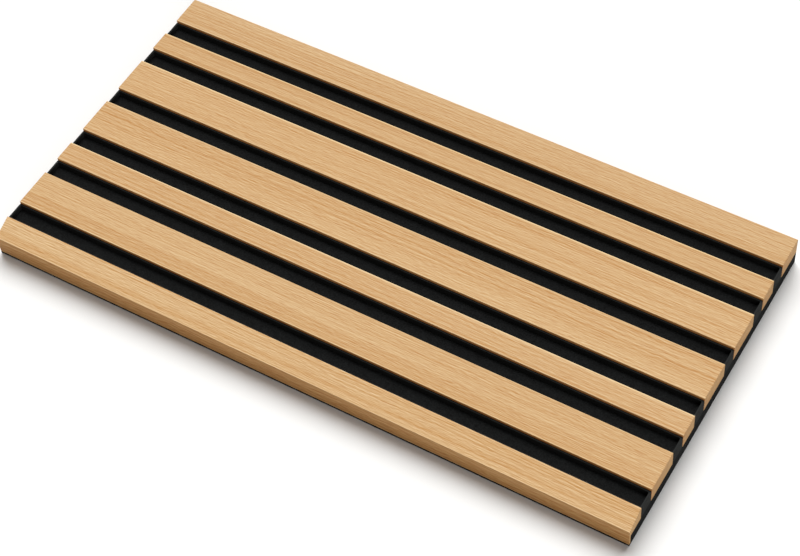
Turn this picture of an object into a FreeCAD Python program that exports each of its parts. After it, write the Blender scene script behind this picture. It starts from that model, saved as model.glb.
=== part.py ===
import FreeCAD, Part
import os

# Acoustic slat wall panel, lying on its back: oak slats and felt strips laid side by side on a felt board.
# X runs along the slats, Y from the near long edge to the far one, and Z up from the back face.
# The origin is at the middle of the back face. All sizes are in millimetres.

# The panel
panel_length = 440.0
slat_thickness = 12.0
backing_thickness = 10.0
groove_width = 13.0

# The slats' widths
plain_edge_width = 22.0
narrow_width = 15.0
wide_width = 27.0
bevelled_edge_width = 14.0

# The near edge slat: its top falls towards the edge, and a thin lip leans in a little as it covers the board's edge
bevel_fall = 6.0
lip_break_height = 9.2
lip_thickness = 1.3
lip_lean = 0.3
lip_clearance = 0.1
board_foot_height = 1.8

# The felt strips in the grooves, each with a pocket in its top
strip_reveal = 1.8
strip_wall = 1.2
pocket_depth = 3.8
pocket_corner_radius = 1.0
strip_side_clearance = 0.1

# Eased edges
slat_edge_radius = 0.6
strip_edge_chamfer = 0.3

# The slats from the far edge to the near one
slat_widths = {
    "plain_edge_slat": plain_edge_width,
    "narrow_slat_1": narrow_width,
    "wide_slat_1": wide_width,
    "wide_slat_2": wide_width,
    "narrow_slat_2": narrow_width,
    "wide_slat_3": wide_width,
    "bevelled_edge_slat": bevelled_edge_width,
}

groove_count = len(slat_widths) - 1
panel_width = sum(slat_widths.values()) + groove_count * groove_width
near_edge = -panel_width / 2
far_edge = panel_width / 2
slat_top = backing_thickness + slat_thickness


def prism(outline, length):
    """A solid with the given closed (y, z) outline, centred on the YZ plane and running along X."""
    points = [FreeCAD.Vector(-length / 2, y, z) for y, z in outline]
    wire = Part.makePolygon(points + points[:1])
    return Part.Face(wire).extrude(FreeCAD.Vector(length, 0, 0))


def block(length, low, high):
    """A box centred on the YZ plane, from the low (y, z) corner to the high one."""
    (y0, z0), (y1, z1) = low, high
    return prism([(y0, z0), (y1, z0), (y1, z1), (y0, z1)], length)


def edges_above(shape, height):
    """The edges of a shape that lie wholly above a height, which are those round its top."""
    return [edge for edge in shape.Edges if edge.BoundBox.ZMin > height]


def straight_slat(near, far):
    """A slat between two Y places, its top edges eased."""
    slat = block(panel_length, (near, backing_thickness), (far, slat_top))
    return slat.makeFillet(slat_edge_radius, edges_above(slat, backing_thickness + slat_thickness / 2))


def bevelled_slat(near, far):
    """The near edge slat: a falling top, and a lip that stands on the foot of the board's rebate."""
    lip_outside = near + lip_lean
    lip_inside = lip_outside + lip_thickness
    outline = [
        (near, lip_break_height),
        (lip_outside, board_foot_height),
        (lip_inside, board_foot_height),
        (lip_inside, backing_thickness),
        (far, backing_thickness),
        (far, slat_top),
        (near, slat_top - bevel_fall),
    ]
    slat = prism(outline, panel_length)
    return slat.makeFillet(slat_edge_radius, edges_above(slat, backing_thickness))


def groove_strip(near, far):
    """A felt strip that fills a groove to just below the slats' tops, with a pocket closed at both ends."""
    rim = slat_top - strip_reveal
    near += strip_side_clearance
    far -= strip_side_clearance
    strip = block(panel_length, (near, backing_thickness), (far, rim))
    pocket = block(
        panel_length - 2 * strip_wall,
        (near + strip_wall, rim - pocket_depth),
        (far - strip_wall, rim + strip_wall),
    )
    corners = [edge for edge in pocket.Edges if edge.BoundBox.ZLength > pocket_depth]
    strip = strip.cut(pocket.makeFillet(pocket_corner_radius, corners))
    return strip.makeChamfer(strip_edge_chamfer, edges_above(strip, rim - strip_edge_chamfer))


def backing_board():
    """The felt board, with a rebate along its near edge that leaves a thin foot under the slat's lip."""
    foot_front = near_edge + lip_lean
    rebate_wall = foot_front + lip_thickness + lip_clearance
    outline = [
        (foot_front, 0),
        (far_edge, 0),
        (far_edge, backing_thickness),
        (rebate_wall, backing_thickness),
        (rebate_wall, board_foot_height),
        (foot_front, board_foot_height),
    ]
    return prism(outline, panel_length)


def laid_pieces():
    """Every piece in its place, by name: the board, then slats and strips in turn from the far edge."""
    pieces = {"backing_board": backing_board()}
    far = far_edge
    for number, (name, width) in enumerate(slat_widths.items(), start=1):
        near = far - width
        make_slat = bevelled_slat if name == "bevelled_edge_slat" else straight_slat
        pieces[name] = make_slat(near, far)
        if number <= groove_count:
            pieces[f"groove_strip_{number}"] = groove_strip(near - groove_width, near)
        far = near - groove_width
    return pieces


os.makedirs("parts", exist_ok=True)
for piece_name, shape in laid_pieces().items():
    shape.exportStep(f"parts/{piece_name}.step")
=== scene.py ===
"""The looks of an acoustic slat wall panel: oak slats and pocketed felt strips on a felt board.

Every piece is a surface worked out in the CAD model's own frame, in metres, and stands for one CAD node.
X runs along the slats, Y from the near long edge to the far one, and Z up from the back face.
"""

import math

import bpy
import numpy as np
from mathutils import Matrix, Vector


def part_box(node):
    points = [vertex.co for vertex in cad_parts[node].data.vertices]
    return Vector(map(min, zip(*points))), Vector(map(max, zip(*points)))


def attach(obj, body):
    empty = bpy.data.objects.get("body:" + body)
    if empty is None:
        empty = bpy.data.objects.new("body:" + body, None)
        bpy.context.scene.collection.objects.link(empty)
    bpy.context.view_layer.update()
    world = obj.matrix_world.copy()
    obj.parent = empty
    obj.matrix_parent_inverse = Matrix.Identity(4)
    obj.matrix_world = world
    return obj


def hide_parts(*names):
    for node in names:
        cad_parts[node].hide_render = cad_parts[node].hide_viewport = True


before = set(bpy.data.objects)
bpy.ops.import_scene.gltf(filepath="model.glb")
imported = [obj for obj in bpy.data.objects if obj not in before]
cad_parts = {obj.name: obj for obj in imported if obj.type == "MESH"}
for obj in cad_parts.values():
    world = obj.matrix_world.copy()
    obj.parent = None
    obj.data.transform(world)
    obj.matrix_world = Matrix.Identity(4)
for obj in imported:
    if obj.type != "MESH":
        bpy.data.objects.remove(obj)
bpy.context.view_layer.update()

bl_info = {
    "name": "Acoustic Slat Panel",
    "version": (1, 0, 0),
    "blender": (4, 5, 0),
    "location": "3D View > Sidebar > Slat Panel",
    "description": "Oak slats and pocketed felt strips on a felt board, with a plain studio round them",
    "category": "Add Mesh",
}

MM = 0.001
BODY = "root"
BOARD = "backing_board"
BEVELLED_SLAT = "bevelled_edge_slat"
FELT_NAME = "felt_needled_and_pressed"

# The slats from the far edge to the near one. Each is sawn from its own place in a log: the pith lies this
# far to the side of the slat and this far below it, and the slat starts this far along the log, all in
# millimetres. The last three numbers are how light its wood is beside the rest, in red, green and blue. On
# the bevelled slat they are mostly painted light, making up for its sloped top catching less of the key
# light.
SLAT_CUTS = {
    "plain_edge_slat": (-150.0, 70.0, 0.0, (0.98, 0.985, 1.0)),
    "narrow_slat_1": (140.0, 40.0, 2610.0, (0.945, 0.91, 0.855)),
    "wide_slat_1": (-165.0, 85.0, 5330.0, (1.0, 1.0, 1.0)),
    "wide_slat_2": (130.0, 95.0, 8170.0, (1.0, 1.0, 1.0)),
    "narrow_slat_2": (-145.0, 45.0, 10890.0, (1.02, 1.04, 1.09)),
    "wide_slat_3": (155.0, 75.0, 13640.0, (0.985, 0.98, 0.97)),
    # Painted light: lighter to make up for its sloped top, which catches less of the key light
    BEVELLED_SLAT: (-135.0, 60.0, 16450.0, (1.32, 1.38, 1.52)),
}
# How pale each slat's far and near arris is, from 0 to 1: part sanding wear, part painted highlight
ARRIS_WEAR_AND_HIGHLIGHT = {
    "plain_edge_slat": (0.2, 0.6),
    "narrow_slat_1": (1.0, 0.6),
    "wide_slat_1": (0.9, 0.4),
    "wide_slat_2": (0.4, 0.4),
    "narrow_slat_2": (0.85, 0.4),
    "wide_slat_3": (0.2, 0.6),
    BEVELLED_SLAT: (0.0, 0.45),
}
GROOVE_STRIPS = [f"groove_strip_{number}" for number in range(1, len(SLAT_CUTS))]

# Edges that turn by more than this are shaded sharp
SHARP_TURN = math.radians(40)


def linear_colour(code):
    """An sRGB hex colour as linear red, green and blue."""
    channels = np.array([int(code[at:at + 2], 16) for at in (1, 3, 5)]) / 255
    low, high = channels / 12.92, ((channels + 0.055) / 1.055) ** 2.4
    return tuple(np.where(channels <= 0.04045, low, high).tolist())


class OakSlatLook(bpy.types.PropertyGroup):
    """Sizes and colours of the oak slats."""

    arris_radius: bpy.props.FloatProperty(
        name="Arris radius", description="Rounding of a slat's sanded top edges",
        default=0.3 * MM, min=0.0, precision=5, unit="LENGTH")
    grain_relief: bpy.props.FloatProperty(
        name="Grain relief",
        description="How deep sanding has left the soft early wood below the late wood",
        default=0.03 * MM, min=0.0, precision=5, unit="LENGTH")
    bevel_fall: bpy.props.FloatProperty(
        name="Bevel fall", description="How far the near slat's top falls towards the edge",
        default=6.0 * MM, min=0.0, precision=5, unit="LENGTH")
    lip_break: bpy.props.FloatProperty(
        name="Lip break", description="Height at which the near slat's side turns into its lip",
        default=9.2 * MM, min=0.0, precision=5, unit="LENGTH")
    lip_lean: bpy.props.FloatProperty(
        name="Lip lean", description="How far the near slat's lip leans in under it",
        default=0.3 * MM, min=0.0, precision=5, unit="LENGTH")
    lip_thickness: bpy.props.FloatProperty(
        name="Lip thickness", description="Thickness of the lip that covers the board's edge",
        default=1.3 * MM, min=0.0, precision=5, unit="LENGTH")
    ring_width: bpy.props.FloatProperty(
        name="Ring width", description="Width of a growth ring",
        default=1.3 * MM, min=0.0001, precision=5, unit="LENGTH")
    pore_length: bpy.props.FloatProperty(
        name="Pore length", description="Length of the dark dashes that open pores leave along the grain",
        default=11.0 * MM, min=0.001, precision=5, unit="LENGTH")
    pale_wood: bpy.props.FloatVectorProperty(
        name="Pale wood", description="Late wood between the streaks",
        default=linear_colour("#CFB082"), size=3, min=0.0, max=1.0, subtype="COLOR")
    deep_wood: bpy.props.FloatVectorProperty(
        name="Deep wood", description="Early wood in the streaks",
        default=linear_colour("#AE7A3C"), size=3, min=0.0, max=1.0, subtype="COLOR")
    pore_brown: bpy.props.FloatVectorProperty(
        name="Pore brown", description="Open pores",
        default=linear_colour("#9C5E22"), size=3, min=0.0, max=1.0, subtype="COLOR")
    # Part sanding wear, part painted highlight: the pale colour of the arrises
    worn_and_highlit_wood: bpy.props.FloatVectorProperty(
        name="Rubbed wood", description="Sanded arrises, where the oil is thin",
        default=linear_colour("#E6C896"), size=3, min=0.0, max=1.0, subtype="COLOR")
    # Painted light: lightens and warms the top of each groove's far side, the side that faces the near edge
    side_painted_light: bpy.props.FloatVectorProperty(
        name="Side stain",
        description="What the oil makes of the wood's colour at the top of a groove's far side",
        default=(1.3, 0.95, 0.62), size=3, min=0.0, max=2.0, subtype="COLOR")
    # Painted shade: the colour a groove's far side darkens towards, down by the felt
    recess_painted_shade: bpy.props.FloatVectorProperty(
        name="Pool stain",
        description="What the oil makes of the wood's colour where it has pooled above the felt",
        default=(0.75, 0.5, 0.27), size=3, min=0.0, max=2.0, subtype="COLOR")
    # Painted shade: how far below a slat's top the groove's far side darkens towards the felt
    painted_shade_depth: bpy.props.FloatProperty(
        name="Pool depth", description="How far below a slat's top the oil has pooled",
        default=1.8 * MM, min=0.0001, precision=5, unit="LENGTH")
    # Painted shade: darkens the near edge's upright side above its lip
    near_edge_painted_shade: bpy.props.FloatVectorProperty(
        name="Edge stain",
        description="What the oil makes of the wood's colour on the near edge above its lip",
        default=(0.635, 0.51, 0.34), size=3, min=0.0, max=1.0, subtype="COLOR")
    # Painted shade: darkens the near edge's lip, deeper than the side above it
    lip_painted_shade: bpy.props.FloatVectorProperty(
        name="Lip stain", description="What the oil makes of the wood's colour on the near edge's lip",
        default=(0.56, 0.425, 0.235), size=3, min=0.0, max=1.0, subtype="COLOR")
    sawn_end: bpy.props.FloatVectorProperty(
        name="Sawn end", description="The bare wood of a sawn end",
        default=linear_colour("#C3965F"), size=3, min=0.0, max=1.0, subtype="COLOR")


class FeltLook(bpy.types.PropertyGroup):
    """Sizes and colours of the felt strips and the felt board."""

    strip_wall: bpy.props.FloatProperty(
        name="Strip wall", description="Width of the rim round a strip's pocket",
        default=1.2 * MM, min=0.0, precision=5, unit="LENGTH")
    pocket_depth: bpy.props.FloatProperty(
        name="Pocket depth", description="Depth of a strip's pocket below its rim",
        default=3.8 * MM, min=0.0, precision=5, unit="LENGTH")
    pocket_corner: bpy.props.FloatProperty(
        name="Pocket corner", description="Corner radius of a pocket in plan",
        default=1.0 * MM, min=0.0, precision=5, unit="LENGTH")
    soft_edge: bpy.props.FloatProperty(
        name="Soft edge", description="Rounding of the felt's pressed and cut edges",
        default=0.3 * MM, min=0.0, precision=5, unit="LENGTH")
    unevenness: bpy.props.FloatProperty(
        name="Unevenness", description="How far the pressed face swells and dips",
        default=0.1 * MM, min=0.0, precision=5, unit="LENGTH")
    lip_rebate: bpy.props.FloatProperty(
        name="Lip rebate",
        description="Width of the rebate in the board's near edge, where the slat's lip stands",
        default=1.4 * MM, min=0.0, precision=5, unit="LENGTH")
    fibre_black: bpy.props.FloatVectorProperty(
        name="Fibre black", description="Dyed fibres",
        default=linear_colour("#0C0C0C"), size=3, min=0.0, max=1.0, subtype="COLOR")
    fibre_grey: bpy.props.FloatVectorProperty(
        name="Fibre grey", description="Worn fibre ends and paler flecks",
        default=linear_colour("#1F2020"), size=3, min=0.0, max=1.0, subtype="COLOR")
    # Painted light: the lighter grey that a strip's ends and rim are drawn in
    painted_end_grey: bpy.props.FloatVectorProperty(
        name="Cut grey", description="The paler fibre ends on a strip's cut end",
        default=linear_colour("#2A2B2A"), size=3, min=0.0, max=1.0, subtype="COLOR")
    # Painted light: how far a strip's rim is lightened towards that grey
    rim_painted_light: bpy.props.FloatProperty(
        name="Rim wear",
        description="How far rubbing has paled a strip's rim towards the grey of its cut end",
        default=0.7, min=0.0, max=1.0, subtype="FACTOR")


class StudioLook(bpy.types.PropertyGroup):
    """The floor, the lights and the camera."""

    floor_white: bpy.props.FloatVectorProperty(
        name="Floor white", description="The plain pale floor",
        default=linear_colour("#ECEBE9"), size=3, min=0.0, max=1.0, subtype="COLOR")
    key_strength: bpy.props.FloatProperty(
        name="Key strength", description="The soft light from above, behind and to the left",
        default=4.35, min=0.0)
    key_turn: bpy.props.FloatVectorProperty(
        name="Key turn", description="Which way the key light faces",
        default=(math.radians(-33.0), math.radians(-17.0), 0.0), size=3, subtype="EULER", unit="ROTATION")
    key_spread: bpy.props.FloatProperty(
        name="Key spread", description="How wide the key light looks from the panel",
        default=math.radians(52.0), min=0.0, max=math.pi, subtype="ANGLE", unit="ROTATION")
    front_strength: bpy.props.FloatProperty(
        name="Front strength", description="The weaker light from low in front and to the right",
        default=1.1, min=0.0)
    front_turn: bpy.props.FloatVectorProperty(
        name="Front turn", description="Which way the front light faces",
        default=(math.radians(65.0), 0.0, math.radians(45.0)), size=3, subtype="EULER", unit="ROTATION")
    front_spread: bpy.props.FloatProperty(
        name="Front spread", description="How wide the front light looks from the panel",
        default=math.radians(40.0), min=0.0, max=math.pi, subtype="ANGLE", unit="ROTATION")
    light_white: bpy.props.FloatVectorProperty(
        name="Light white", description="Colour of both lights",
        default=linear_colour("#FDFEFF"), size=3, min=0.0, max=1.0, subtype="COLOR")
    fill_strength: bpy.props.FloatProperty(
        name="Fill strength", description="The even light from all round", default=0.05, min=0.0)
    fill_warm: bpy.props.FloatVectorProperty(
        name="Fill warm", description="Colour of the even light",
        default=linear_colour("#FFF4E6"), size=3, min=0.0, max=1.0, subtype="COLOR")
    camera_place: bpy.props.FloatVectorProperty(
        name="Camera place", description="Where the camera stands",
        default=(0.440866, -0.624291, 0.997126), size=3, subtype="TRANSLATION", unit="LENGTH")
    camera_turn: bpy.props.FloatVectorProperty(
        name="Camera turn", description="Which way the camera looks",
        default=tuple(math.radians(turn) for turn in (36.7247, 3.3608, 30.4468)),
        size=3, subtype="EULER", unit="ROTATION")
    lens: bpy.props.FloatProperty(
        name="Lens", description="Focal length on a 36 mm wide sensor",
        default=91.055, min=1.0, unit="CAMERA")


def even_steps(length, spacing):
    """Fractions from 0 to 1, the last left out, that cut a length into steps no longer than the spacing."""
    count = max(1, math.ceil(length / spacing))
    return np.arange(count) / count


def rounded_outline(corners, radii, spacings, arc_steps):
    """A closed outline with rounded corners, and how far round a corner each of its points is.

    Each corner is cut back along both sides by radius / tan(half its angle) and bridged by an arc about the
    point where the two cut-back perpendiculars meet. Each side between two arcs is then cut into even steps.
    The second result runs from 0 at an arc's start to 1 at its end, and is -1 everywhere else.
    """
    corners = np.asarray(corners, float)
    to_next = np.roll(corners, -1, axis=0) - corners
    to_next /= np.linalg.norm(to_next, axis=1)[:, None]
    from_last = np.roll(to_next, 1, axis=0)
    turn = np.arctan2(
        from_last[:, 0] * to_next[:, 1] - from_last[:, 1] * to_next[:, 0], (from_last * to_next).sum(1))
    radii = np.asarray(radii, float)
    cut_back = radii * np.tan(np.abs(turn) / 2)
    arc_start = corners - from_last * cut_back[:, None]
    arc_end = corners + to_next * cut_back[:, None]
    points, round_share = [], []
    for at in range(len(corners)):
        if radii[at] > 0:
            share = np.linspace(0, 1, arc_steps + 1)
            inward = np.sign(turn[at]) * np.array([-from_last[at, 1], from_last[at, 0]])
            centre = arc_start[at] + radii[at] * inward
            spoke = arc_start[at] - centre
            angle = share * turn[at]
            points.append(centre + np.stack([
                spoke[0] * np.cos(angle) - spoke[1] * np.sin(angle),
                spoke[0] * np.sin(angle) + spoke[1] * np.cos(angle)], axis=1))
            round_share.append(share)
        else:
            points.append(corners[at:at + 1])
            round_share.append(np.full(1, -1.0))
        side = arc_start[(at + 1) % len(corners)] - arc_end[at]
        inner = even_steps(np.linalg.norm(side), spacings[at])[1:]
        points.append(arc_end[at] + inner[:, None] * side)
        round_share.append(np.full(len(inner), -1.0))
    return np.concatenate(points), np.concatenate(round_share)


def outward_normals(outline):
    """Unit normals of a closed anticlockwise outline: each point's chord to its neighbours, turned right."""
    chord = np.roll(outline, -1, axis=0) - np.roll(outline, 1, axis=0)
    normal = np.stack([chord[:, 1], -chord[:, 0]], axis=1)
    return normal / np.linalg.norm(normal, axis=1)[:, None]


def distance_round(outline):
    """How far each point of an outline lies along it from the first: the sum of the steps so far."""
    return np.concatenate([[0], np.cumsum(np.linalg.norm(np.diff(outline, axis=0), axis=1))])


def waves(first, second, lengths, widths, seed, count=36):
    """Smooth unevenness from 0 to 1: a sum of sine waves over two coordinates, of seeded sizes and phases.

    Each wave's repeat along the first coordinate is drawn from lengths and along the second from widths. The
    sum has a standard spread of 1, and a quarter of it about one half, held within 0 and 1, is the result.
    """
    draw = np.random.default_rng(seed)
    along = 2 * math.pi / draw.uniform(*lengths, count) * draw.choice([-1, 1], count)
    across = 2 * math.pi / draw.uniform(*widths, count)
    phase = draw.uniform(0, 2 * math.pi, count)
    total = sum(np.sin(first * along[k] + second * across[k] + phase[k]) for k in range(count))
    return np.clip(0.5 + 0.25 * (total / math.sqrt(count / 2)), 0, 1)


def loft_faces(ring_count, point_count):
    """Quads between each ring of points and the next, round a closed loop."""
    ring, point = np.meshgrid(np.arange(ring_count - 1), np.arange(point_count), indexing="ij")
    after = (point + 1) % point_count
    quads = [ring * point_count + point, ring * point_count + after,
             (ring + 1) * point_count + after, (ring + 1) * point_count + point]
    return np.stack(quads, axis=-1).reshape(-1, 4).tolist()


def capped_loft_faces(ring_count, point_count):
    """The quads of a loft, and a flat face over its first ring and its last."""
    around = np.arange(point_count)
    last = (ring_count - 1) * point_count
    return loft_faces(ring_count, point_count) + [around[::-1].tolist(), (last + around).tolist()]


def lay_piece(node_name, ending, points, faces, material, attributes):
    """Makes a mesh from points and faces, with its material and attributes, to stand for a CAD node."""
    if node_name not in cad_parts:
        raise RuntimeError(f"the packed model has no node named {node_name}")
    mesh = bpy.data.meshes.new(f"{node_name}_{ending}")
    mesh.from_pydata(np.asarray(points).reshape(-1, 3).tolist(), [], faces)
    for name, values in attributes.items():
        values = np.asarray(values, np.float32)
        kind, field = ("FLOAT_VECTOR", "vector") if values.ndim == 2 else ("FLOAT", "value")
        mesh.attributes.new(name, kind, "POINT").data.foreach_set(field, values.ravel())
    mesh.polygons.foreach_set("use_smooth", np.ones(len(mesh.polygons), bool))
    mesh.set_sharp_from_angle(angle=SHARP_TURN)
    mesh.materials.append(material)
    piece = bpy.data.objects.new(mesh.name, mesh)
    bpy.context.scene.collection.objects.link(piece)
    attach(piece, BODY)
    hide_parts(node_name)


def add_node(tree, kind, inputs=None, **settings):
    """Adds a node: settings are its options, and inputs are values, or sockets to link from, by input."""
    made = tree.nodes.new(kind)
    for option, value in settings.items():
        setattr(made, option, value)
    for key, value in (inputs or {}).items():
        if isinstance(value, bpy.types.NodeSocket):
            tree.links.new(value, made.inputs[key])
        else:
            made.inputs[key].default_value = value
    return made


def oak_material(look):
    """Oak, planed, sanded and matt-oiled."""
    # Straight-grained oak shows fine streaks about a millimetre wide along the slat, where rings meet the
    # face, and dark dashes where long pores lie open. The streaks wander a little. On a sawn end the same
    # rings are short lines.
    material = bpy.data.materials.new("oak_planed_and_matt_oiled")
    material.use_nodes = True
    tree = material.node_tree
    shader = tree.nodes["Principled BSDF"]
    place = add_node(tree, "ShaderNodeAttribute", attribute_name="log_place").outputs["Vector"]

    def grain(vector, along, across, round_ring, detail):
        """Noise with blotches this long along the log, across the rings and round them, in metres."""
        scaled = add_node(tree, "ShaderNodeVectorMath", {
            0: vector, 1: (1 / along, 1 / across, 1 / round_ring)}, operation="MULTIPLY")
        return add_node(tree, "ShaderNodeTexNoise", {
            "Vector": scaled.outputs[0], "Scale": 1.0, "Detail": detail, "Roughness": 0.55})

    def narrow_grain(vector, *sizes):
        """Grain less a share of itself half a millimetre further out: narrow streaks stay, clouds fade."""
        further = add_node(tree, "ShaderNodeVectorMath", {0: vector, 1: (0.0, 0.5 * MM, 0.0)}).outputs[0]
        return add_node(tree, "ShaderNodeMath", {
            0: grain(further, *sizes).outputs["Fac"], 1: -0.7, 2: grain(vector, *sizes).outputs["Fac"]},
            operation="MULTIPLY_ADD").outputs[0]

    # The fibres wander sideways by about a millimetre over some 100 mm
    wander = grain(place, 100 * MM, 10 * MM, 10 * MM, 2.0)
    bent = add_node(tree, "ShaderNodeVectorMath", {
        0: wander.outputs["Color"], 1: (0.0, 2.6 * MM, 2.6 * MM), 2: place},
        operation="MULTIPLY_ADD").outputs[0]
    rings = narrow_grain(bent, 700 * MM, look.ring_width, 10 * MM, 3.0)
    streaks = narrow_grain(bent, 14 * MM, 0.6 * MM, 8 * MM, 2.0)
    fibres = narrow_grain(bent, 5 * MM, 0.45 * MM, 6 * MM, 1.0)
    drift = grain(place, 700 * MM, 9 * MM, 40 * MM, 1.0).outputs["Fac"]
    pores = narrow_grain(bent, look.pore_length, 0.5 * MM, 5 * MM, 1.0)

    # The tone is 0 in early wood, which is deep, and 1 in late wood, which is pale. Each pattern has its
    # share of it.
    tone = -0.245
    for noise, share in ((rings, 1.5), (streaks, 0.65), (fibres, 1.1), (drift, 0.5)):
        tone = add_node(
            tree, "ShaderNodeMath", {0: noise, 1: share, 2: tone}, operation="MULTIPLY_ADD").outputs[0]
    wood = add_node(tree, "ShaderNodeMix", {
        0: tone, 6: (*look.deep_wood, 1.0), 7: (*look.pale_wood, 1.0)}, data_type="RGBA").outputs[2]
    open_pores = add_node(tree, "ShaderNodeMapRange", {
        "Value": pores, "From Min": 0.25, "From Max": 0.43, "To Min": 0.0, "To Max": 0.42}).outputs[0]
    pored = add_node(tree, "ShaderNodeMix", {
        0: open_pores, 6: wood, 7: (*look.pore_brown, 1.0)}, data_type="RGBA").outputs[2]

    # An arris is paled, part by sanding wear and part as a painted highlight. The tint holds how light a
    # slat is, mostly painted light on the bevelled slat, times the painted light and shade on the sides that
    # face the near edge, and a sawn end is bare.
    wear_and_highlight = add_node(tree, "ShaderNodeAttribute", attribute_name="wear_and_highlight").outputs["Fac"]
    worn_and_highlit = add_node(tree, "ShaderNodeMix", {
        0: wear_and_highlight, 6: pored, 7: (*look.worn_and_highlit_wood, 1.0)}, data_type="RGBA").outputs[2]
    tint = add_node(tree, "ShaderNodeAttribute", attribute_name="tint").outputs["Vector"]
    tinted_and_painted = add_node(tree, "ShaderNodeVectorMath", {0: worn_and_highlit, 1: tint}, operation="MULTIPLY").outputs[0]
    sawing = add_node(tree, "ShaderNodeAttribute", attribute_name="sawing").outputs["Fac"]
    colour = add_node(tree, "ShaderNodeMix", {
        0: sawing, 6: tinted_and_painted, 7: (*look.sawn_end, 1.0)}, data_type="RGBA").outputs[2]
    tree.links.new(colour, shader.inputs["Base Color"])

    # The oil leaves late wood a little smoother than early wood. Pores sink by hundredths of a millimetre.
    roughness = add_node(tree, "ShaderNodeMapRange", {
        "Value": tone, "To Min": 0.82, "To Max": 0.72}).outputs[0]
    tree.links.new(roughness, shader.inputs["Roughness"])
    height = add_node(
        tree, "ShaderNodeMath", {0: open_pores, 1: -1.0, 2: tone}, operation="MULTIPLY_ADD").outputs[0]
    bump = add_node(tree, "ShaderNodeBump", {"Height": height, "Strength": 0.35, "Distance": 0.03 * MM})
    tree.links.new(bump.outputs[0], shader.inputs["Normal"])
    shader.inputs["IOR"].default_value = 1.5
    return material


def felt_material(look):
    """Black felt, needled and pressed."""
    # Felt swallows light: no gloss, a soft pale bloom at a glancing angle, and a fine speckle of fibre ends.
    # Real fibres are about 0.03 mm thick, too fine to show, so the speckle is drawn at about 0.7 mm.
    material = bpy.data.materials.new(FELT_NAME)
    material.use_nodes = True
    tree = material.node_tree
    shader = tree.nodes["Principled BSDF"]
    place = add_node(tree, "ShaderNodeTexCoord").outputs["Object"]
    speckle = add_node(tree, "ShaderNodeTexNoise", {
        "Vector": place, "Scale": 1 / (0.7 * MM), "Detail": 2.0, "Roughness": 0.6}).outputs["Fac"]
    tufts = add_node(tree, "ShaderNodeTexNoise", {
        "Vector": place, "Scale": 1 / (3.5 * MM), "Detail": 2.0, "Roughness": 0.5}).outputs["Fac"]
    both = add_node(
        tree, "ShaderNodeMath", {0: tufts, 1: 0.2, 2: speckle}, operation="MULTIPLY_ADD").outputs[0]
    grey = add_node(tree, "ShaderNodeMapRange", {
        "Value": both, "From Min": 0.4, "From Max": 0.85, "To Min": 0.0, "To Max": 1.0}).outputs[0]
    fibres = add_node(tree, "ShaderNodeMix", {
        0: grey, 6: (*look.fibre_black, 1.0), 7: (*look.fibre_grey, 1.0)}, data_type="RGBA").outputs[2]
    # Painted light: a strip's ends and rim are lightened towards grey
    felt_painted_light = add_node(tree, "ShaderNodeAttribute", attribute_name="felt_painted_light").outputs["Fac"]
    colour = add_node(tree, "ShaderNodeMix", {
        0: felt_painted_light, 6: fibres, 7: (*look.painted_end_grey, 1.0)}, data_type="RGBA").outputs[2]
    tree.links.new(colour, shader.inputs["Base Color"])
    bump = add_node(tree, "ShaderNodeBump", {"Height": both, "Strength": 0.5, "Distance": 0.15 * MM})
    tree.links.new(bump.outputs[0], shader.inputs["Normal"])
    shader.inputs["Roughness"].default_value = 0.95
    shader.inputs["Specular IOR Level"].default_value = 0.05
    shader.inputs["Sheen Weight"].default_value = 0.015
    shader.inputs["Sheen Roughness"].default_value = 0.5
    return material


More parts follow.
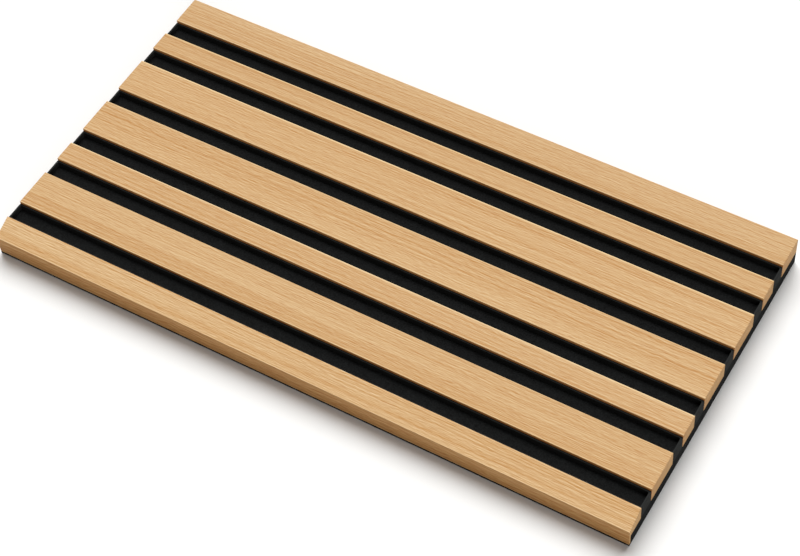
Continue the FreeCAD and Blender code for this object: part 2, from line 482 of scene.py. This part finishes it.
class SLATPANEL_OT_lay_slats(bpy.types.Operator):
    """Lay the seven oak slats, each with eased top edges and a faint relief along its grain"""

    bl_idname = "slat_panel.lay_slats"
    bl_label = "Lay Oak Slats"

    TOP_STEP = 0.8 * MM
    SIDE_STEP = 1.6 * MM
    HIDDEN_STEP = 9.0 * MM
    LENGTH_STEP = 1.1 * MM
    ARRIS_STEPS = 6
    GRAIN_LENGTHS = (50 * MM, 400 * MM)
    GRAIN_WIDTHS = (1.8 * MM, 7 * MM)
    # A point of the section is on a side where this much of its normal is level
    LEVEL_SHARE = 0.95
    # A sawn end is this much bare wood, and the rest is grain
    BARE_SHARE = 0.7

    def outline_of(self, node_name, look):
        """A slat's section, anticlockwise from +X: its corners, radii, steps, and the height of its top."""
        low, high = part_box(node_name)
        near, far, foot, top = low.y, high.y, low.z, high.z
        arris = look.arris_radius
        if node_name != BEVELLED_SLAT:
            corners = [(near, foot), (far, foot), (far, top), (near, top)]
            radii = [0, 0, arris, arris]
            steps = [self.HIDDEN_STEP, self.SIDE_STEP, self.TOP_STEP, self.SIDE_STEP]
            return corners, radii, steps, lambda across: np.full_like(across, top)
        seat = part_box(BOARD)[1].z
        lip_inside = near + look.lip_lean + look.lip_thickness
        corners = [
            (near, look.lip_break), (near + look.lip_lean, foot), (lip_inside, foot), (lip_inside, seat),
            (far, seat), (far, top), (near, top - look.bevel_fall)]
        radii = [0, 0, 0, 0, 0, arris, arris]
        steps = [self.SIDE_STEP / 2, self.HIDDEN_STEP, self.HIDDEN_STEP, self.HIDDEN_STEP, self.SIDE_STEP,
                 self.TOP_STEP, self.SIDE_STEP / 2]
        return corners, radii, steps, lambda across: top - look.bevel_fall * (far - across) / (far - near)

    def wood_of(self, node_name, look, outline, round_share, points, top_height):
        """What the oak's material reads at each point of a slat.

        A point's place in the log is how far along it lies, how far from the pith, and how far round the
        pith on a ring through the slat. The tint is the slat's own, mostly painted light on the bevelled
        slat, times painted light and shade on the sides that face the near edge. The arris value is how pale
        an arris is, part sanding wear and part painted highlight, and sawing is an end's share of bare wood.
        """
        low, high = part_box(node_name)
        *cut, tone_and_painted_light = SLAT_CUTS[node_name]
        side, below, shift = (value * MM for value in cut)
        pith = np.array([(low.y + high.y) / 2 + side, low.z - below])
        spoke = points[..., 1:] - pith
        ring = np.linalg.norm(spoke, axis=-1)
        turn = np.arctan2(spoke[..., 0], spoke[..., 1]) * np.linalg.norm([side, below])
        log_place = np.stack([points[..., 0] + shift, ring, turn], axis=-1)

        # Painted light lightens and warms the top of a groove's far side, and painted shade darkens it
        # towards the felt. Painted shade darkens the near edge and its lip the most.
        level = outward_normals(outline)[:, :1]
        is_side = np.abs(level) > self.LEVEL_SHARE
        near_painted_shade = np.where(outline[:, 1:] <= look.lip_break, look.lip_painted_shade, look.near_edge_painted_shade)
        is_near_edge = (node_name == BEVELLED_SLAT) & (level < 0)
        shade_share = np.clip((top_height(outline[:, :1]) - outline[:, 1:]) / look.painted_shade_depth, 0, 1)
        groove_painted_light_and_shade = (1 - shade_share) * look.side_painted_light + shade_share * look.recess_painted_shade
        painted_side_light = np.where(is_near_edge, near_painted_shade, np.where(level < 0, groove_painted_light_and_shade, 1.0))
        tint = np.broadcast_to(tone_and_painted_light * np.where(is_side, painted_side_light, 1.0), points.shape)

        # Painted highlight, with some sanding wear: how pale each arris is drawn
        far_share, near_share = ARRIS_WEAR_AND_HIGHLIGHT[node_name]
        arris_share = np.where(outline[:, 0] > (low.y + high.y) / 2, far_share, near_share)
        is_arris = (round_share >= 0) & ~is_side[:, 0]
        wear_and_highlight = np.tile(np.where(is_arris, arris_share, 0.0), (len(points), 1))
        sawing = np.zeros_like(wear_and_highlight)
        wear_and_highlight[[0, -1]], sawing[[0, -1]] = 0.0, self.BARE_SHARE
        return {
            "log_place": log_place.reshape(-1, 3), "tint": tint.reshape(-1, 3),
            "wear_and_highlight": wear_and_highlight.ravel(), "sawing": sawing.ravel()}

    def lay_slat(self, node_name, look, material, seed):
        """Carries a slat's section along X.

        Over the last arris radius at each end, the top arris radius of the section sinks by a quarter round.
        The skin also sinks along its normals by the relief times the waves of the grain, except at its foot.
        """
        low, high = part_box(node_name)
        corners, radii, steps, top_height = self.outline_of(node_name, look)
        outline, round_share = rounded_outline(corners, radii, steps, self.ARRIS_STEPS)
        arris = look.arris_radius
        start = low.x + arris * (1 - np.sin(np.linspace(math.pi / 2, 0, self.ARRIS_STEPS + 1)))
        straight = high.x - low.x - 2 * arris
        middle = low.x + arris + even_steps(straight, self.LENGTH_STEP)[1:] * straight
        along = np.concatenate([start, middle, low.x + high.x - start[::-1]])
        from_end = np.minimum(np.minimum(along - low.x, high.x - along), arris)
        sunk = 1 - np.sqrt(np.maximum(0, 1 - (1 - from_end / arris) ** 2))

        relief = waves(
            along[:, None], distance_round(outline)[None, :], self.GRAIN_LENGTHS, self.GRAIN_WIDTHS, seed)
        shown = np.where(outline[:, 1] > low.z + arris, 1.0, 0.0)
        sinking = (look.grain_relief * relief * shown)[..., None]
        section = outline[None] - outward_normals(outline)[None] * sinking
        spring_line = top_height(section[..., 0]) - arris
        above = np.maximum(0, section[..., 1] - spring_line)
        height = section[..., 1] - above * sunk[:, None]
        points = np.stack(
            [np.broadcast_to(along[:, None], height.shape), section[..., 0], height], axis=-1)

        faces = capped_loft_faces(len(along), len(outline))
        wood = self.wood_of(node_name, look, outline, round_share, points, top_height)
        lay_piece(node_name, "oak", points, faces, material, wood)

    def execute(self, context):
        look = context.scene.oak_slat_look
        material = oak_material(look)
        for seed, node_name in enumerate(SLAT_CUTS):
            self.lay_slat(node_name, look, material, seed)
        return {"FINISHED"}


class SLATPANEL_OT_lay_strips(bpy.types.Operator):
    """Lay the six felt strips, each with a pocket that is closed at both ends"""

    bl_idname = "slat_panel.lay_strips"
    bl_label = "Lay Felt Strips"

    LENGTH_STEP = 1.8 * MM
    SHORT_STEPS = 8
    CORNER_STEPS = 4
    # Points up the outside of the wall, round a soft edge, down the pocket and over half its floor
    OUTSIDE_POINTS = 6
    BEND_POINTS = 4
    POCKET_POINTS = 5
    FLOOR_POINTS = 7
    # The floor's rings stop this far from its middle line, with corners no tighter than this
    MIDDLE_GAP = 0.7 * MM
    TIGHTEST_CORNER = 0.3 * MM
    SWELL_LENGTHS = (7 * MM, 40 * MM)
    SWELL_WIDTHS = (5 * MM, 18 * MM)
    # A point of the loop is on a strip's end where this much of its outward direction runs along X
    END_SHARE = 0.9

    def lay_strip(self, node_name, look, material, seed):
        """Carries a strip's section round it: up the outside, over the rim, down and along the floor.

        Each ring of points is a rectangle with rounded corners, drawn in from the strip's outside by the
        section's inset, at the section's height. All but the foot sinks by the felt's unevenness times
        smooth waves.
        """
        low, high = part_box(node_name)
        rim, foot = high.z, low.z
        soft, wall, corner = look.soft_edge, look.strip_wall, look.pocket_corner
        floor = rim - look.pocket_depth
        half_x, half_y = (high.x - low.x) / 2, (high.y - low.y) / 2
        bend = np.linspace(0, math.pi / 2, self.BEND_POINTS)
        outside = np.linspace(foot, rim - soft, self.OUTSIDE_POINTS)
        inside = np.linspace(rim - soft, floor + soft, self.POCKET_POINTS)
        across_floor = np.linspace(wall + 2 * soft, half_y - self.MIDDLE_GAP, self.FLOOR_POINTS)
        inset = np.concatenate([
            np.zeros(len(outside) - 1), soft * (1 - np.cos(bend)), wall - soft + soft * np.sin(bend),
            np.full(len(inside) - 2, wall), wall + soft * (1 - np.cos(bend)), across_floor])
        height = np.concatenate([
            outside[:-1], rim - soft + soft * np.sin(bend), rim - soft + soft * np.cos(bend),
            inside[1:-1], floor + soft * (1 - np.sin(bend)), np.full(len(across_floor), floor)])
        outer_corner = 2 * soft
        radius = np.where(inset < wall, outer_corner + (corner - outer_corner) * inset / wall,
                          np.maximum(self.TIGHTEST_CORNER, corner - (inset - wall)))

        # One loop of points round the strip, each with a base, as a share of the half sizes, and a way out
        long_share = 1 - 2 * np.linspace(0, 1, math.ceil(2 * half_x / self.LENGTH_STEP))
        short_share = 1 - 2 * np.linspace(0, 1, self.SHORT_STEPS + 1)[1:-1]
        arc = np.linspace(0, math.pi / 2, self.CORNER_STEPS + 1)[1:-1]
        flat_long, flat_short, flat_arc = (np.ones_like(part) for part in (long_share, short_share, arc))
        centre_x = np.concatenate([-long_share, flat_arc, flat_short, flat_arc,
                                   long_share, -flat_arc, -flat_short, -flat_arc])
        centre_y = np.concatenate([-flat_long, -flat_arc, -short_share, flat_arc,
                                   flat_long, flat_arc, short_share, -flat_arc])
        out_x = np.concatenate([0 * flat_long, np.sin(arc), flat_short, np.cos(arc),
                                0 * flat_long, -np.sin(arc), -flat_short, -np.cos(arc)])
        out_y = np.concatenate([-flat_long, -np.cos(arc), 0 * flat_short, np.sin(arc),
                                flat_long, np.cos(arc), 0 * flat_short, -np.sin(arc)])
        inset, height, radius = inset[:, None], height[:, None], radius[:, None]
        x = (low.x + high.x) / 2 + centre_x * (half_x - inset - radius) + out_x * radius
        y = (low.y + high.y) / 2 + centre_y * (half_y - inset - radius) + out_y * radius
        swell = waves(x, y, self.SWELL_LENGTHS, self.SWELL_WIDTHS, seed)
        z = height - np.where(height > foot, look.unevenness, 0) * swell
        points = np.stack([x, y, z], axis=-1)

        # The floor and the foot are closed by quads across the strip, and by one face at each end
        ring_count, point_count = x.shape
        long_count, end_count = len(long_share), 2 * len(arc) + len(short_share)
        here = np.arange(long_count - 1)
        opposite = 2 * long_count + end_count - 2 - here
        middle = np.stack([here, here + 1, opposite, opposite + 1], axis=-1)
        right_end = np.arange(long_count - 1, long_count + end_count + 1)
        left_end = np.append(np.arange(2 * long_count + end_count - 1, point_count), 0)
        top = (ring_count - 1) * point_count
        faces = (
            loft_faces(ring_count, point_count)
            + (middle + top).tolist() + [(right_end + top).tolist(), (left_end + top).tolist()]
            + middle[:, ::-1].tolist() + [right_end[::-1].tolist(), left_end[::-1].tolist()])

        # Painted light lightens a strip's ends and its rim towards grey
        is_end = (np.abs(out_x) > self.END_SHARE) & (inset <= wall)
        felt_painted_light = np.where(is_end, 1.0, np.where(height > rim - soft / 2, look.rim_painted_light, 0.0))
        lay_piece(node_name, "felt", points, faces, material, {"felt_painted_light": felt_painted_light.ravel()})

    def execute(self, context):
        look = context.scene.felt_look
        material = felt_material(look)
        for seed, node_name in enumerate(GROOVE_STRIPS, start=len(SLAT_CUTS)):
            self.lay_strip(node_name, look, material, seed)
        return {"FINISHED"}


class SLATPANEL_OT_lay_board(bpy.types.Operator):
    """Lay the felt board that carries the slats and strips"""

    bl_idname = "slat_panel.lay_board"
    bl_label = "Lay Felt Board"

    SIDE_STEP = 1.4 * MM
    FACE_STEP = 4.0 * MM
    LENGTH_STEP = 3.0 * MM
    CORNER_STEPS = 3
    SWELL_SIZES = (8 * MM, 45 * MM)
    SEED = 99

    def execute(self, context):
        """Carries the board's section along X: a slab with a soft far side and a rebate in its near edge.

        The back and the far side sink along their normals by the unevenness times smooth waves.
        """
        look = context.scene.felt_look
        low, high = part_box(BOARD)
        foot_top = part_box(BEVELLED_SLAT)[0].z
        rebate = low.y + look.lip_rebate
        corners = [(low.y, low.z), (high.y, low.z), (high.y, high.z), (rebate, high.z), (rebate, foot_top),
                   (low.y, foot_top)]
        radii = [0, look.soft_edge, look.soft_edge, 0, 0, 0]
        steps = [self.FACE_STEP, self.SIDE_STEP, *[self.FACE_STEP] * 4]
        outline, _ = rounded_outline(corners, radii, steps, self.CORNER_STEPS)
        along = np.linspace(low.x, high.x, math.ceil((high.x - low.x) / self.LENGTH_STEP))
        swell = waves(
            along[:, None], distance_round(outline)[None, :], self.SWELL_SIZES, self.SWELL_SIZES, self.SEED)
        is_back = (outline[:, 1] < foot_top) & (outline[:, 0] >= rebate)
        is_far_side = outline[:, 0] > high.y - look.soft_edge
        sinking = (look.unevenness * swell * np.where(is_back | is_far_side, 1.0, 0.0))[..., None]
        section = outline[None] - outward_normals(outline)[None] * sinking
        points = np.concatenate(
            [np.broadcast_to(along[:, None, None], (*section.shape[:2], 1)), section], axis=-1)
        faces = capped_loft_faces(len(along), len(outline))
        material = bpy.data.materials.get(FELT_NAME) or felt_material(look)
        lay_piece(BOARD, "felt", points, faces, material, {})
        return {"FINISHED"}


class SLATPANEL_OT_set_studio(bpy.types.Operator):
    """Set the plain pale floor, the soft light and the camera"""

    bl_idname = "slat_panel.set_studio"
    bl_label = "Set Studio"

    FLOOR_HALF = 8.0
    SENSOR_WIDTH = 36.0
    CLIP_START, CLIP_END = 0.05, 50.0

    def execute(self, context):
        look = context.scene.studio_look
        scene = context.scene
        half = self.FLOOR_HALF
        mesh = bpy.data.meshes.new("studio_floor")
        mesh.from_pydata(
            [(-half, -half, 0), (half, -half, 0), (half, half, 0), (-half, half, 0)], [], [(0, 1, 2, 3)])
        paint = bpy.data.materials.new("floor_matt_white_paint")
        paint.use_nodes = True
        shader = paint.node_tree.nodes["Principled BSDF"]
        shader.inputs["Base Color"].default_value = (*look.floor_white, 1.0)
        shader.inputs["Roughness"].default_value = 0.9
        shader.inputs["Specular IOR Level"].default_value = 0.1
        mesh.materials.append(paint)
        floor = bpy.data.objects.new(mesh.name, mesh)
        scene.collection.objects.link(floor)

        for name, strength, turn, spread in (
                ("key_light", look.key_strength, look.key_turn, look.key_spread),
                ("front_light", look.front_strength, look.front_turn, look.front_spread)):
            lamp = bpy.data.lights.new(name, "SUN")
            lamp.energy, lamp.angle, lamp.color = strength, spread, look.light_white
            light = bpy.data.objects.new(name, lamp)
            light.rotation_euler = turn
            scene.collection.objects.link(light)

        world = bpy.data.worlds.new("studio_fill")
        world.use_nodes = True
        fill = world.node_tree.nodes["Background"]
        fill.inputs["Color"].default_value = (*look.fill_warm, 1.0)
        fill.inputs["Strength"].default_value = look.fill_strength
        scene.world = world

        lens = bpy.data.cameras.new("camera")
        lens.lens, lens.sensor_width, lens.sensor_fit = look.lens, self.SENSOR_WIDTH, "HORIZONTAL"
        lens.clip_start, lens.clip_end = self.CLIP_START, self.CLIP_END
        camera = bpy.data.objects.new(lens.name, lens)
        camera.location, camera.rotation_euler = look.camera_place, look.camera_turn
        scene.collection.objects.link(camera)
        scene.camera = camera
        scene.view_settings.view_transform = "Standard"
        return {"FINISHED"}


class SLATPANEL_PT_sidebar(bpy.types.Panel):
    """The panel's sizes, colours and steps"""

    bl_label = "Acoustic Slat Panel"
    bl_idname = "SLATPANEL_PT_sidebar"
    bl_space_type = "VIEW_3D"
    bl_region_type = "UI"
    bl_category = "Slat Panel"

    def draw(self, context):
        for settings, steps in LOOKS.items():
            look = getattr(context.scene, settings)
            box = self.layout.box()
            for name in look.__annotations__:
                box.prop(look, name)
            for step in steps:
                box.operator(step.bl_idname)


LOOKS = {
    "oak_slat_look": [SLATPANEL_OT_lay_slats],
    "felt_look": [SLATPANEL_OT_lay_strips, SLATPANEL_OT_lay_board],
    "studio_look": [SLATPANEL_OT_set_studio],
}
GROUPS = {"oak_slat_look": OakSlatLook, "felt_look": FeltLook, "studio_look": StudioLook}
CLASSES = [*GROUPS.values(), *(step for steps in LOOKS.values() for step in steps), SLATPANEL_PT_sidebar]


def register():
    for made in CLASSES:
        bpy.utils.register_class(made)
    for name, group in GROUPS.items():
        setattr(bpy.types.Scene, name, bpy.props.PointerProperty(type=group))


def unregister():
    for name in GROUPS:
        delattr(bpy.types.Scene, name)
    for made in reversed(CLASSES):
        bpy.utils.unregister_class(made)


def main():
    register()
    bpy.ops.slat_panel.lay_slats()
    bpy.ops.slat_panel.lay_strips()
    bpy.ops.slat_panel.lay_board()
    bpy.ops.slat_panel.set_studio()


if __name__ == "__main__":
    main()
